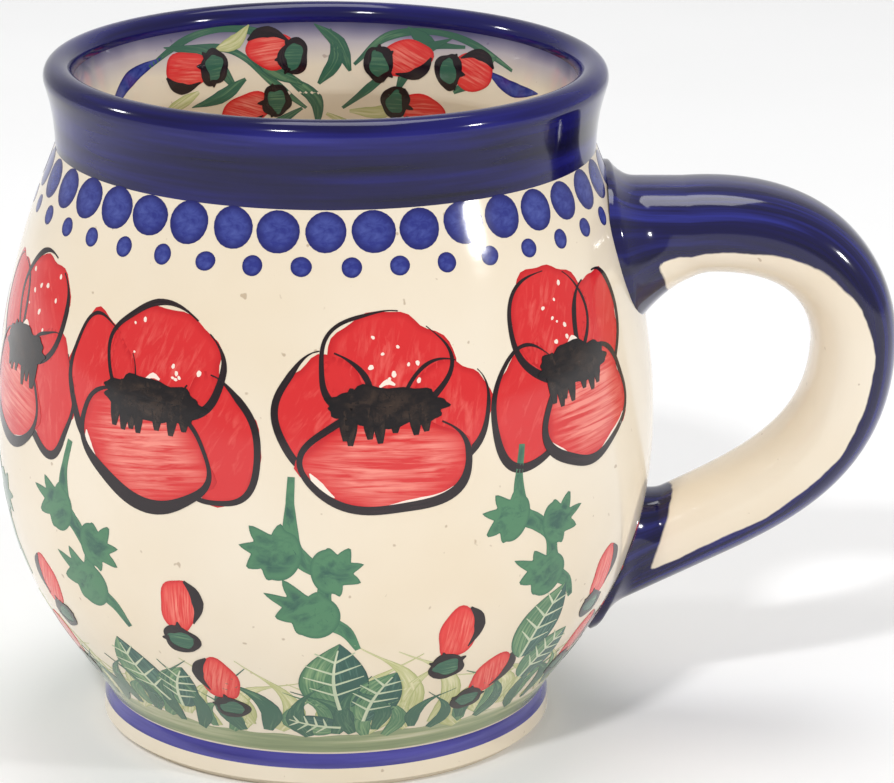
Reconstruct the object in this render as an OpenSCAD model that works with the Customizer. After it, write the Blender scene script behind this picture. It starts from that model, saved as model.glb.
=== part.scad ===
// A round-bellied stoneware mug with one pulled handle. The handle is luted to the wall
// through a flared joint at each end, and separate glaze coats lie over the bare clay.
// Millimetres. +Z is up, +X points at the handle, and the origin is the centre of the
// ring that the mug stands on.

/* [Body] */
// Height of the rim above the table
rim_h = 100; // [96:1:106]
// Diameter over the lip
rim_d = 81.4; // [80:0.2:84]
// Diameter at the waist, under the collar
waist_d = 78.2; // [76.6:0.2:80]
// Height of the waist, where the painted collar ends
waist_h = 87.6; // [86.5:0.1:88.5]
// Diameter of the belly at its widest
belly_d = 96.7; // [94.7:0.2:98.7]
// Height of the widest point of the belly
belly_h = 46; // [43:1:49]
// Diameter at the neck of the foot
neck_d = 65.8; // [64.4:0.2:67]
// Height of the neck of the foot, where the belly starts
neck_h = 5.4; // [5:0.1:6]
// Diameter of the foot at the table
foot_d = 67; // [66.4:0.2:69]
// Thickness of the wall
wall_t = 4.6; // [4:0.1:5.2]
// Height of the floor inside the mug
floor_h = 8.5; // [7.5:0.1:9.5]
// Depth of the recess inside the foot ring
recess_h = 3; // [2:0.1:3.5]
// Width of the bare foot ring
ring_w = 6; // [5:0.1:7]

/* [Handle] */
// Distance from the mug's axis to the middle of the handle at its furthest
reach = 77.8; // [75.5:0.1:79.5]
// Height of the middle of the upper arm where it leaves its joint
upper_h = 75.2; // [73.9:0.1:75.5]
// Height of the middle of the lower arm where it meets its joint
lower_h = 29.2; // [28.6:0.1:30]
// Thickness of the handle at its furthest, from its back to the finger side
grip_t = 12.3; // [11.5:0.1:13.3]
// How much thicker the handle is at its upper end
end_swell = 1.2; // [0:0.1:1.5]
// Width of the handle at its upper end
upper_w = 19.3; // [18:0.1:21]
// Width of the handle at its lower end
lower_w = 15.1; // [14:0.1:17]
// How far the upper joint flares out beyond the handle, on average
upper_flare = 4.6; // [4:0.1:5]
// How much further the upper joint flares at its bottom than on average
upper_droop = 2.5; // [2:0.1:2.8]
// How far the lower joint flares out beyond the handle
lower_flare = 2.1; // [1.5:0.1:2.4]
// Radius of the bare clay left for the upper joint to be luted to
upper_seat_r = 10; // [8:0.5:11]
// Radius of the bare clay left for the lower joint to be luted to
lower_seat_r = 8; // [6:0.5:8]

/* [Glaze] */
// Thickness of each glaze coat
glaze_t = 0.4; // [0.3:0.05:0.5]
// Height of the bare clay left at the foot of the wall
bare_h = 1.2; // [0.8:0.1:1.6]
// Height where the blue band on the foot starts
band_h = 3.4; // [3:0.1:3.8]

/* [Hidden] */
clay = "#d9c8ad";
cream = "#f0e4d0";
cobalt = "#1b1a63";
round_fn = 128;

belly_r = belly_d / 2;
waist_r = waist_d / 2;
neck_r = neck_d / 2;
foot_r = foot_d / 2;
lip_r = wall_t / 2 - 0.1;
lip_mid = [rim_d / 2 - lip_r, rim_h - lip_r];

// One point, and a run of n steps, along a curve held by four points
function curve_at(p, t) =
    pow(1 - t, 3) * p[0] + 3 * pow(1 - t, 2) * t * p[1] + 3 * (1 - t) * t * t * p[2] + pow(t, 3) * p[3];
function curve_slope(p, t) =
    3 * pow(1 - t, 2) * (p[1] - p[0]) + 6 * (1 - t) * t * (p[2] - p[1]) + 3 * t * t * (p[3] - p[2]);
function run(p, n, first = 0) = [for (i = [first:n]) curve_at(p, i / n)];
function unit(v) = v / norm(v);

// The finished outside, from the foot to the lip, as [radius, height]
foot_side = [[foot_r, bare_h], [foot_r - 0.1, band_h]];
belly_low = [[neck_r, neck_h], [neck_r + 4.4, 14.2], [belly_r, belly_h - 24], [belly_r, belly_h]];
belly_high = [[belly_r, belly_h], [belly_r, belly_h + 19.8], [waist_r + 2.4, waist_h - 6],
              [waist_r, waist_h]];
lip_foot = [lip_mid[0] + lip_r * cos(15), lip_mid[1] - lip_r * sin(15)];
collar_out = [[waist_r, waist_h], [waist_r, waist_h + 3], lip_foot - [1.2, 4], lip_foot];
lip_steps = 10;
lip_over = [for (i = [1:lip_steps]) let (a = -15 + 210 * i / lip_steps)
            lip_mid + lip_r * [cos(a), sin(a)]];

// The finished inside, from the lip down to the middle of the floor
lip_end = lip_over[lip_steps - 1];
neck_in = [waist_r - wall_t, waist_h - 1];
collar_in = [lip_end, lip_end - [0.6, 2.5], neck_in + [0, 4], neck_in];
belly_in_r = belly_r - wall_t;
wall_in_high = [neck_in, neck_in + [2.2, -6], [belly_in_r, belly_h + 20], [belly_in_r, belly_h]];
wall_in_low = [[belly_in_r, belly_h], [belly_in_r, floor_h + 15], [belly_in_r - 11, floor_h],
               [24, floor_h]];

foot_pts = concat(foot_side, [belly_low[0]]);
belly_pts = concat(run(belly_low, 12), run(belly_high, 10, 1));
collar_pts = concat(run(collar_out, 5), lip_over);
liner_pts = concat([lip_end], run(collar_in, 4, 1), run(wall_in_high, 9, 1),
                   run(wall_in_low, 12, 1), [[0, floor_h]]);

// The whole glazed surface in one line, so that neighbouring coats share their edges
skin = concat(foot_side, belly_pts, [for (i = [1:len(collar_pts) - 1]) collar_pts[i]],
              [for (i = [1:len(liner_pts) - 1]) liner_pts[i]]);
skin_last = len(skin) - 1;
function inward(p, i) =
    let (along = unit(p[min(i + 1, len(p) - 1)] - p[max(i - 1, 0)])) [-along[1], along[0]];
clay_skin = [for (i = [0:skin_last]) let (p = skin[i] + glaze_t * inward(skin, i)) [max(p[0], 0), p[1]]];

// Where each coat starts and ends along that line
band_first = 1;
belly_first = 2;
collar_first = belly_first + len(belly_pts) - 1;
liner_first = collar_first + len(collar_pts) - 1;

ring_out = foot_r - 1.4;
ring_in = ring_out - ring_w;

// A ring of glaze between two places along the skin
module coat(first, last) {
    outer = [for (i = [first:last]) skin[i]];
    inner = [for (i = [last:-1:first]) clay_skin[i]];
    rotate_extrude($fn = round_fn) polygon(concat(outer, inner));
}

// Solid of revolution that fills the mug out to its bare clay, to cut the handle's joints
module clay_outline() {
    out = [for (i = [0:liner_first]) clay_skin[i]];
    rotate_extrude($fn = round_fn)
        polygon(concat([[0, 0], [ring_out, 0]], out, [[0, clay_skin[liner_first][1]]]));
}

// The handle's middle line: the upper arm from its joint to the furthest point, then the lower arm
lower_dir = [cos(206), 0, sin(206)];
upper_start = [52.4, 0, upper_h];
lower_end = [54.1, 0, lower_h];
far_point = [reach, 0, 57.4];
upper_arm = [upper_start, upper_start + [20.9, 0, 1.9], far_point + [0, 0, 6.7], far_point];
lower_arm = [far_point, far_point - [0, 0, 16.8], lower_end - 12.3 * lower_dir, lower_end];
arm_steps = 18;
handle_steps = 2 * arm_steps;
function arm(s) = s < 1 ? curve_at(upper_arm, s) : curve_at(lower_arm, s - 1);
function arm_dir(s) = unit(s < 1 ? curve_slope(upper_arm, s) : curve_slope(lower_arm, s - 1));

// Half the handle's width and thickness, and how far round from its back the blue reaches
function half_w(s) = (upper_w + (lower_w - upper_w) * s / 2) / 2;
function half_t(s) = (grip_t + end_swell * max(1 - s, 0)) / 2;
function blue_reach(s) = 73 + 35 * max(1 - s, 0);

// The section is a rounded oval: a is measured from the middle of the handle's back
back_sides = 12;
grip_sides = 12;
sides = back_sides + grip_sides;
oval = 0.85;
function power(v) = sign(v) * pow(abs(v), oval);
function side_angle(j, s) = j <= back_sides
    ? -blue_reach(s) + 2 * blue_reach(s) * j / back_sides
    : blue_reach(s) + (360 - 2 * blue_reach(s)) * (j - back_sides) / grip_sides;
function section_point(mid, s, j, grow) =
    let (a = side_angle(j, s), dir = arm_dir(s))
        mid + (half_t(s) + grow) * power(cos(a)) * [-dir[2], 0, dir[0]]
            + (half_w(s) + grow) * power(sin(a)) * [0, 1, 0];
function handle_point(s, j, under) = section_point(arm(s), s, j, -under);

// The sides of a closed solid made from a grid of points: rows run along it and columns run round it
function tube_sides(rows, cols) = concat(
    [for (i = [0:rows - 2], j = [0:cols - 1]) let (k = (j + 1) % cols)
        [i * cols + k, i * cols + j, (i + 1) * cols + j]],
    [for (i = [0:rows - 2], j = [0:cols - 1]) let (k = (j + 1) % cols)
        [i * cols + k, (i + 1) * cols + j, (i + 1) * cols + k]]);

// A solid tube has one flat face at each end
function tube_faces(rows, cols) = concat(
    [[for (j = [0:cols - 1]) j]],
    tube_sides(rows, cols),
    [[for (j = [cols - 1:-1:0]) (rows - 1) * cols + j]]);

// A coat's ends follow its bend: each end is a row of pairs of triangles between its two faces
function coat_end(cols, base) = [for (j = [0:cols / 2 - 2])
    each [[base + j, base + j + 1, base + cols - 2 - j],
          [base + j, base + cols - 2 - j, base + cols - 1 - j]]];
function turned_over(faces) = [for (f = faces) [f[2], f[1], f[0]]];
function coat_faces(rows, cols) = concat(
    coat_end(cols, 0), tube_sides(rows, cols), turned_over(coat_end(cols, (rows - 1) * cols)));

// One glaze coat along the handle, between two of the section's sides
module handle_coat(first, last) {
    cols = 2 * (last - first + 1);
    points = [for (i = [0:handle_steps])
        for (j = [0:cols - 1]) let (over = j <= last - first)
            handle_point(i / arm_steps, (over ? first + j : last - (j - cols / 2)) % sides,
                         over ? 0 : glaze_t)];
    polyhedron(points, coat_faces(handle_steps + 1, cols));
}

// How far a point is from the wall's finished face, and how far the clay has spread there
wall_radii = [for (i = [0:collar_first]) [skin[i][1], skin[i][0]]];
function wall_gap(p) = norm([p[0], p[1]]) - lookup(p[2], wall_radii);
function spread(flare, gap) =
    let (start = 1.6 * flare) gap >= start ? 0 : flare * pow(1 - max(gap, 0) / start, 2);

// A flared stub that runs on from one end of the handle into the wall
module stub(s, mid, dir, depth, rows, flare, droop) {
    points = [for (i = [0:rows - 1]) for (j = [0:sides - 1])
        let (at = mid + depth * i / (rows - 1) * dir,
             side_flare = flare - droop * cos(side_angle(j, s)))
            section_point(at, s, j, spread(side_flare, wall_gap(section_point(at, s, j, 0))))];
    faces = tube_faces(rows, sides);
    polyhedron(points, s > 1 ? faces : [for (f = faces) [for (k = [len(f) - 1:-1:0]) f[k]]]);
}
module upper_stub() { stub(0, upper_start, [-1, 0, 0], 17, 14, upper_flare, upper_droop); }
module lower_stub() { stub(2, lower_end, lower_dir, 22, 13, lower_flare, 0); }

// Where the glaze stops round each joint's clay: a round hole through the belly's coat
lower_seat_h = lower_h - 5;
module seat(h, r) {
    translate([belly_r, 0, h]) rotate([0, 90, 0]) cylinder(h = 24, r = r, center = true, $fn = round_fn);
}
module belly_coat() {
    difference() {
        coat(belly_first, collar_first);
        seat(upper_h, upper_seat_r);
        seat(lower_seat_h, lower_seat_r);
    }
}

// Thrown wall, floor and bare foot ring
module body() {
    color(clay)
        rotate_extrude($fn = round_fn)
            polygon(concat(
                [[0, recess_h], [ring_in - 1.2, recess_h], [ring_in - 0.4, 0.6], [ring_in, 0], [ring_out, 0]],
                clay_skin));
}

// Pulled clay handle under its glaze
module handle() {
    points = [for (i = [0:handle_steps]) for (j = [0:sides - 1])
        handle_point(i / arm_steps, j, glaze_t)];
    color(clay) polyhedron(points, tube_faces(handle_steps + 1, sides));
}

// Flared clay that lutes the upper arm to the wall
module upper_joint() {
    color(cobalt) difference() {
        upper_stub();
        clay_outline();
        belly_coat();
    }
}

// Flared clay that lutes the lower arm to the wall
module lower_joint() {
    color(cobalt) difference() {
        lower_stub();
        clay_outline();
        belly_coat();
    }
}

// Blue glaze from the waist up and over the lip
module collar_glaze() { color(cobalt) coat(collar_first, liner_first); }

// Cream glaze over the belly, open where the two joints meet the clay
module belly_glaze() { color(cream) belly_coat(); }

// Blue line round the neck of the foot
module foot_band_glaze() { color(cobalt) coat(band_first, belly_first); }

// Cream glaze on the side of the foot
module foot_glaze() { color(cream) coat(0, band_first); }

// Cream glaze inside the mug, over the wall and the floor
module liner_glaze() { color(cream) coat(liner_first, skin_last); }

// Cream glaze inside the foot ring
module base_glaze() {
    color(cream) translate([0, 0, recess_h - glaze_t]) cylinder(h = glaze_t, r = ring_in - 2.4, $fn = round_fn);
}

// Blue glaze along the back and sides of the handle
module handle_back_glaze() { color(cobalt) handle_coat(0, back_sides); }

// Cream glaze along the finger side of the handle
module handle_grip_glaze() { color(cream) handle_coat(back_sides, sides); }

body();
handle();
upper_joint();
lower_joint();
collar_glaze();
belly_glaze();
foot_band_glaze();
foot_glaze();
liner_glaze();
base_glaze();
handle_back_glaze();
handle_grip_glaze();
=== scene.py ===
# %% [markdown]
# # A hand-painted stoneware mug
# The mug is thrown in cream stoneware, luted to one pulled handle, painted freehand under the
# glaze and fired glossy. This lesson builds it the way it is made: first the clay line is
# drawn, then it is turned on a wheel made of Geometry Nodes, then the handle is pulled, and
# last the painting is drawn flat and wrapped on the pot with the same wheel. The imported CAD
# model is the fixed frame: every size below is read from it or follows from it.

# %% Load the frame
import math

import bpy
import numpy as np
from mathutils import Matrix, Vector


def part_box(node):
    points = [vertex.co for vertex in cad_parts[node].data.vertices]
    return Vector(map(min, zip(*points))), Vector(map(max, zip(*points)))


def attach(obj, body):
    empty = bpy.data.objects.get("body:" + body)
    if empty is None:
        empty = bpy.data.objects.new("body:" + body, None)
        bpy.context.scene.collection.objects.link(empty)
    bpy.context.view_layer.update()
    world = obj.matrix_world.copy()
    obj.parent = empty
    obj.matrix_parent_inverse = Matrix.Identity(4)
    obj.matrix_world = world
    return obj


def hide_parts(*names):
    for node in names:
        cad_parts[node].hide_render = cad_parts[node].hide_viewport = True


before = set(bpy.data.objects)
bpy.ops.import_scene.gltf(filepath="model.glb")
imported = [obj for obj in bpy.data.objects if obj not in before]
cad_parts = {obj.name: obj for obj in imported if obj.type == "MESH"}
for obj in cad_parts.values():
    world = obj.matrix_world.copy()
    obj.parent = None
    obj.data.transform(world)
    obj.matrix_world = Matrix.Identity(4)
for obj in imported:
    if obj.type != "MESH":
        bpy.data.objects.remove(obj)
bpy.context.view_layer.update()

# %% [markdown]
# ## The camera
# A long lens from a little above the rim, about sixty centimetres away. It shows the far inside
# wall over the rim, and the handle in profile on the right. The camera is held by hand, so it
# turns a little towards the handle and leans by about half a degree.

# %% Place the camera
MM = 0.001
scene = bpy.context.scene
camera_data = bpy.data.cameras.new("camera")
camera_data.lens = 156.1
camera_data.sensor_width = 36.0
camera_data.sensor_fit = "HORIZONTAL"
camera_data.clip_start = 0.02
camera = bpy.data.objects.new("camera", camera_data)
scene.collection.objects.link(camera)
camera.location = (0.0, -546.4 * MM, 223.3 * MM)
aim = Matrix.Rotation(math.radians(-1.87), 3, "Z")
aim = aim @ Matrix.Rotation(math.radians(90 - 17.64), 3, "X")
aim = aim @ Matrix.Rotation(math.radians(0.57), 3, "Z")
camera.rotation_euler = aim.to_euler()
scene.camera = camera
print("camera at", [round(v, 3) for v in camera.location])

# %% [markdown]
# ## The potter's line
# A thrown pot is one line turned round an axis. The line below runs up the outside from the
# foot, over the lip and down the inside to the middle of the floor. Four stretches are cubic
# curves that leave the belly and the waist upright, and the lip is an arc. The widths and
# heights come from the CAD pieces, so the finished pot sits exactly on the frame.

# %% Draw the potter's line
def top_of(name):
    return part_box(name)[1]


def foot_of(name):
    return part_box(name)[0]


belly_r = top_of("belly_glaze").y
rim_r = top_of("collar_glaze").y
rim_h = top_of("collar_glaze").z
foot_r = top_of("foot_glaze").y
bare_h = foot_of("foot_glaze").z
band_h = foot_of("foot_band_glaze").z
neck_h = top_of("foot_band_glaze").z
waist_h = top_of("belly_glaze").z
glaze_t = 0.4 * MM
floor_h = foot_of("liner_glaze").z + glaze_t
recess_h = top_of("base_glaze").z
neck_r = 32.9 * MM
waist_r = 39.1 * MM
belly_h = 46 * MM
wall_t = 4.6 * MM
lip_r = wall_t / 2 - 0.1 * MM


def bezier(points, count):
    """Points along a cubic curve, both ends included."""
    a, b, c, d = (np.array(p, float) for p in points)
    t = np.linspace(0, 1, count + 1)[:, None]
    return (1 - t) ** 3 * a + 3 * (1 - t) ** 2 * t * b + 3 * (1 - t) * t**2 * c + t**3 * d


def potters_line():
    """The glazed outline as (radius, height), and the row numbers where its stretches end."""
    inner_r = belly_r - wall_t
    lip_mid = np.array([rim_r - lip_r, rim_h - lip_r])
    lip_out = lip_mid + lip_r * np.array([math.cos(0.262), -math.sin(0.262)])
    neck_in = np.array([waist_r - wall_t, waist_h - 1 * MM])
    turn = np.radians(np.linspace(-15, 195, 29))
    lip = lip_mid + lip_r * np.c_[np.cos(turn), np.sin(turn)]
    stretches = {
        "foot": np.array([[foot_r, bare_h], [foot_r - 0.1 * MM, band_h]]),
        "band": np.array([[foot_r - 0.1 * MM, band_h], [neck_r + 0.3 * MM, neck_h - 0.9 * MM],
                          [neck_r, neck_h]]),
        "belly_low": bezier([[neck_r, neck_h], [neck_r + 4.4 * MM, 14.2 * MM],
                             [belly_r, belly_h - 24 * MM], [belly_r, belly_h]], 60),
        "belly_high": bezier([[belly_r, belly_h], [belly_r, belly_h + 19.8 * MM],
                              [waist_r + 2.4 * MM, waist_h - 6 * MM], [waist_r, waist_h]], 56),
        "collar": bezier([[waist_r, waist_h], [waist_r, waist_h + 3 * MM],
                          lip_out - [1.2 * MM, 4 * MM], lip_out], 18),
        "lip": lip,
        "neck_in": bezier([lip[-1], lip[-1] - [0.6 * MM, 2.5 * MM], neck_in + [0, 4 * MM],
                           neck_in], 16),
        "wall_high": bezier([neck_in, neck_in + [2.2 * MM, -6 * MM], [inner_r, belly_h + 20 * MM],
                             [inner_r, belly_h]], 46),
        "wall_low": bezier([[inner_r, belly_h], [inner_r, floor_h + 15 * MM],
                            [inner_r - 11 * MM, floor_h], [24 * MM, floor_h]], 46),
        "floor": np.c_[np.linspace(24 * MM, 0, 13), np.full(13, floor_h)],
    }
    rows, ends = [], {}
    for name, points in stretches.items():
        rows.extend(points if not rows else points[1:])
        ends[name] = len(rows) - 1
    return np.array(rows), ends


line, line_end = potters_line()
line_length = np.r_[0, np.cumsum(np.linalg.norm(np.diff(line, axis=0), axis=1))]
outside = line_end["collar"]
print("the potter's line has", len(line), "points and is", round(line_length[-1] / MM, 1), "mm long")


def wall_radius(height):
    """Radius of the outside at a height."""
    return np.interp(height, line[: outside + 1, 1], line[: outside + 1, 0])


def along(height, inside=False):
    """How far along the potter's line a height lies, outside or inside the pot."""
    if inside:
        inner = slice(line_end["lip"], line_end["wall_low"])
        return float(np.interp(height, line[inner][::-1, 1], line_length[inner][::-1]))
    return float(np.interp(height, line[: outside + 1, 1], line_length[: outside + 1]))


def radius_along(length):
    """Radius of the pot at a place along the line."""
    return float(np.interp(length, line_length, line[:, 0]))


# %% [markdown]
# ## The wheel
# One Geometry Nodes tree does all the turning. It takes a flat sheet whose X runs round the
# pot, whose Y runs along the potter's line and whose Z stands off the surface, and wraps it
# round the axis. A little noise, slow round the pot and quick up it, gives the soft throwing
# rings of a hand-made wall. The clay, the glaze coats and every brush mark go through the same
# wheel, so paint and pot always agree.

# %% Build the wheel as a node tree
def add_node(tree, kind, **settings):
    made = tree.nodes.new(kind)
    for name, value in settings.items():
        setattr(made, name, value)
    return made


def math_node(tree, operation, a, b=None):
    made = add_node(tree, "ShaderNodeMath", operation=operation)
    for socket, value in zip(made.inputs, (a, b)):
        if isinstance(value, (int, float)):
            socket.default_value = value
        elif value is not None:
            tree.links.new(value, socket)
    return made.outputs[0]


def new_tree(name, inputs):
    """An empty modifier tree with named inputs. Returns it with its input and output nodes."""
    tree = bpy.data.node_groups.new(name, "GeometryNodeTree")
    tree.is_modifier = True
    for label, kind in inputs:
        tree.interface.new_socket(label, in_out="INPUT", socket_type=kind)
    tree.interface.new_socket("Geometry", in_out="OUTPUT", socket_type="NodeSocketGeometry")
    return tree, tree.nodes.new("NodeGroupInput"), tree.nodes.new("NodeGroupOutput")


def build_wheel():
    tree, given, out = new_tree("potters_wheel", [
        ("Geometry", "NodeSocketGeometry"), ("Line", "NodeSocketObject"),
        ("Girth radius", "NodeSocketFloat"), ("Throwing rings", "NodeSocketFloat"),
        ("Seed", "NodeSocketFloat"), ("Merge distance", "NodeSocketFloat"),
        ("Material", "NodeSocketMaterial")])
    link = tree.links.new
    flat = add_node(tree, "ShaderNodeSeparateXYZ")
    link(tree.nodes.new("GeometryNodeInputPosition").outputs[0], flat.inputs[0])
    info = tree.nodes.new("GeometryNodeObjectInfo")
    link(given.outputs["Line"], info.inputs["Object"])
    curve = tree.nodes.new("GeometryNodeMeshToCurve")
    link(info.outputs["Geometry"], curve.inputs["Mesh"])
    sample = add_node(tree, "GeometryNodeSampleCurve", mode="LENGTH")
    link(curve.outputs[0], sample.inputs["Curves"])
    link(flat.outputs["Y"], sample.inputs["Length"])
    place, lean = add_node(tree, "ShaderNodeSeparateXYZ"), add_node(tree, "ShaderNodeSeparateXYZ")
    link(sample.outputs["Position"], place.inputs[0])
    link(sample.outputs["Tangent"], lean.inputs[0])
    angle = math_node(tree, "DIVIDE", flat.outputs["X"], given.outputs["Girth radius"])
    cosine, sine = math_node(tree, "COSINE", angle), math_node(tree, "SINE", angle)
    rings = tree.nodes.new("ShaderNodeCombineXYZ")
    reach = math_node(tree, "MULTIPLY", place.outputs["X"], 7.0)
    link(math_node(tree, "MULTIPLY", reach, cosine), rings.inputs[0])
    link(math_node(tree, "MULTIPLY", reach, sine), rings.inputs[1])
    height = math_node(tree, "MULTIPLY", place.outputs["Z"], 160.0)
    link(math_node(tree, "ADD", height, given.outputs["Seed"]), rings.inputs[2])
    noise = add_node(tree, "ShaderNodeTexNoise")
    noise.inputs["Scale"].default_value = 1.0
    noise.inputs["Detail"].default_value = 1.0
    link(rings.outputs[0], noise.inputs["Vector"])
    swell = math_node(tree, "MULTIPLY", math_node(tree, "SUBTRACT", noise.outputs["Fac"], 0.5),
                      given.outputs["Throwing rings"])
    lift = math_node(tree, "ADD", flat.outputs["Z"], swell)
    outward = math_node(tree, "MULTIPLY", lift, lean.outputs["Z"])
    downward = math_node(tree, "MULTIPLY", lift, lean.outputs["X"])
    radius = math_node(tree, "ADD", place.outputs["X"], outward)
    rise = math_node(tree, "SUBTRACT", place.outputs["Z"], downward)
    turned = tree.nodes.new("ShaderNodeCombineXYZ")
    link(math_node(tree, "MULTIPLY", radius, cosine), turned.inputs[0])
    link(math_node(tree, "MULTIPLY", radius, sine), turned.inputs[1])
    link(rise, turned.inputs[2])
    move = tree.nodes.new("GeometryNodeSetPosition")
    link(given.outputs["Geometry"], move.inputs["Geometry"])
    link(turned.outputs[0], move.inputs["Position"])
    merge = tree.nodes.new("GeometryNodeMergeByDistance")
    link(move.outputs[0], merge.inputs["Geometry"])
    link(given.outputs["Merge distance"], merge.inputs["Distance"])
    real = tree.nodes.new("GeometryNodeRealizeInstances")
    link(merge.outputs[0], real.inputs[0])
    dress = tree.nodes.new("GeometryNodeSetMaterial")
    link(real.outputs[0], dress.inputs["Geometry"])
    link(given.outputs["Material"], dress.inputs["Material"])
    link(dress.outputs[0], out.inputs[0])
    return tree


wheel = build_wheel()
GIRTH_R = belly_r
RING_HEIGHT = 0.16 * MM
print("wheel nodes:", len(wheel.nodes))

# %% [markdown]
# The wheel reads its line from an object. Setting a modifier's input goes by the socket's
# identifier, and afterwards the evaluated result is turned into a plain mesh, because only
# plain meshes travel to other programs.

# %% Run a piece over the wheel
def line_object(name, points):
    """A chain of edges in the XZ plane that the wheel can read as a line."""
    mesh = bpy.data.meshes.new(name)
    mesh.from_pydata([(r, 0, z) for r, z in points], [(i, i + 1) for i in range(len(points) - 1)], [])
    return bpy.data.objects.new(name, mesh)


skin_line = line_object("skin_line", line)


def set_inputs(modifier, values):
    """Sets a modifier's named inputs through their identifiers."""
    for item in modifier.node_group.interface.items_tree:
        if item.in_out == "INPUT" and item.name in values:
            modifier[item.identifier] = values[item.name]


def settle(obj):
    """Turns what the modifiers make into the object's own plain mesh."""
    shown = obj.evaluated_get(bpy.context.evaluated_depsgraph_get())
    mesh = bpy.data.meshes.new_from_object(shown, preserve_all_data_layers=True,
                                           depsgraph=bpy.context.evaluated_depsgraph_get())
    mesh.name = obj.name
    obj.modifiers.clear()
    obj.data = mesh
    return obj


def turn(obj, material, on_line=None, rings=RING_HEIGHT, merge=0.0):
    """Wraps a flat object round the pot's axis and gives it its glaze or paint."""
    modifier = obj.modifiers.new("wheel", "NODES")
    modifier.node_group = wheel
    set_inputs(modifier, {"Line": on_line or skin_line, "Girth radius": GIRTH_R,
                          "Throwing rings": rings, "Seed": 3.7, "Merge distance": merge,
                          "Material": material})
    settle(obj)
    obj.data.materials.clear()
    obj.data.materials.append(material)
    return obj


# %% [markdown]
# ## Glazes and paints
# Every finish is a small node tree. A glaze is one thin layer of glass over its colour, so all of
# them share a glossy Principled shader with a faint dimple in the bump. What differs is the
# colour: cream stoneware glaze is nearly even with tiny iron freckles, cobalt shows the
# brush in level bands because the pot turned under it, and the reds and greens show streaks
# along each stroke. Strokes carry their own UV map, "brush", and a "rim" attribute that is 1 at
# the edge of a stroke, where wet paint pools.

# %% Helpers for node materials
def colour(red, green, blue):
    """A colour given as 0 to 255 screen values, turned into the linear values nodes use."""
    def linear(v):
        v = v / 255
        return v / 12.92 if v <= 0.04045 else ((v + 0.055) / 1.055) ** 2.4
    return (linear(red), linear(green), linear(blue), 1.0)


class Finish:
    """A node material under construction, with short words for the nodes it needs."""

    def __init__(self, name, roughness, coat=0.0, coat_roughness=0.03):
        self.material = bpy.data.materials.new(name)
        self.material.use_nodes = True
        self.tree = self.material.node_tree
        self.shader = self.tree.nodes["Principled BSDF"]
        self.shader.inputs["Roughness"].default_value = roughness
        self.shader.inputs["Coat Weight"].default_value = coat
        self.shader.inputs["Coat Roughness"].default_value = coat_roughness
        self.place = self.tree.nodes.new("ShaderNodeTexCoord").outputs["Object"]

    def link(self, start, end):
        self.tree.links.new(start, end)

    def brush(self):
        return add_node(self.tree, "ShaderNodeUVMap", uv_map="brush").outputs[0]

    def rim(self):
        return add_node(self.tree, "ShaderNodeAttribute", attribute_name="rim").outputs["Fac"]

    def stretched(self, vector, scale):
        mapping = self.tree.nodes.new("ShaderNodeMapping")
        mapping.inputs["Scale"].default_value = scale
        self.link(vector, mapping.inputs["Vector"])
        return mapping.outputs[0]

    def noise(self, vector, scale, detail=3.0, roughness=0.55, distortion=0.0):
        made = self.tree.nodes.new("ShaderNodeTexNoise")
        made.inputs["Scale"].default_value = scale
        made.inputs["Detail"].default_value = detail
        made.inputs["Roughness"].default_value = roughness
        made.inputs["Distortion"].default_value = distortion
        self.link(vector, made.inputs["Vector"])
        return made.outputs["Fac"]

    def ramp(self, factor, stops):
        made = self.tree.nodes.new("ShaderNodeValToRGB")
        while len(made.color_ramp.elements) < len(stops):
            made.color_ramp.elements.new(1.0)
        for element, (place, value) in zip(made.color_ramp.elements, stops):
            element.position = place
            element.color = value
        self.link(factor, made.inputs["Fac"])
        return made.outputs["Color"]

    def shade(self, low, high, factor):
        """A grey ramp from 0 at low to 1 at high."""
        made = self.tree.nodes.new("ShaderNodeMapRange")
        made.inputs["From Min"].default_value = low
        made.inputs["From Max"].default_value = high
        self.link(factor, made.inputs["Value"])
        return made.outputs["Result"]

    def mix(self, factor, a, b):
        made = add_node(self.tree, "ShaderNodeMix", data_type="RGBA")
        for socket, value in zip((made.inputs[0], made.inputs[6], made.inputs[7]), (factor, a, b)):
            if isinstance(value, (int, float, tuple)):
                socket.default_value = value
            else:
                self.link(value, socket)
        return made.outputs[2]

    def times(self, a, b):
        return math_node(self.tree, "MULTIPLY", a, b)

    def finish(self, colour_socket, dimples=0.05, dimple_size=900.0, roughness=None, relief=None):
        self.link(colour_socket, self.shader.inputs["Base Color"])
        height = self.noise(self.place, dimple_size, 2.0)
        if relief is not None:
            height = math_node(self.tree, "ADD", height, relief)
        bump = self.tree.nodes.new("ShaderNodeBump")
        bump.inputs["Strength"].default_value = dimples
        bump.inputs["Distance"].default_value = 0.1 * MM
        self.link(height, bump.inputs["Height"])
        self.link(bump.outputs[0], self.shader.inputs["Normal"])
        if roughness:
            grain = self.noise(self.place, 60.0, 2.0)
            wear = self.tree.nodes.new("ShaderNodeMapRange")
            wear.inputs["To Min"].default_value = roughness[0]
            wear.inputs["To Max"].default_value = roughness[1]
            self.link(grain, wear.inputs["Value"])
            self.link(wear.outputs["Result"], self.shader.inputs["Roughness"])
        return self.material


print("finish helpers ready")

# %% [markdown]
# ## The ground glazes
# Cream covers most of the pot. Cobalt is brushed round the lip and collar, a violet-blue line
# rings the foot, and the bare foot ring shows the clay itself, matt and a little sandy.

# %% Mix the ground glazes
CREAM = colour(237, 225, 205)
CREAM_WARM = colour(230, 214, 188)
COBALT_DEEP = colour(5, 2, 34)
COBALT = colour(13, 9, 70)
COBALT_THIN = colour(36, 36, 124)


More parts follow.
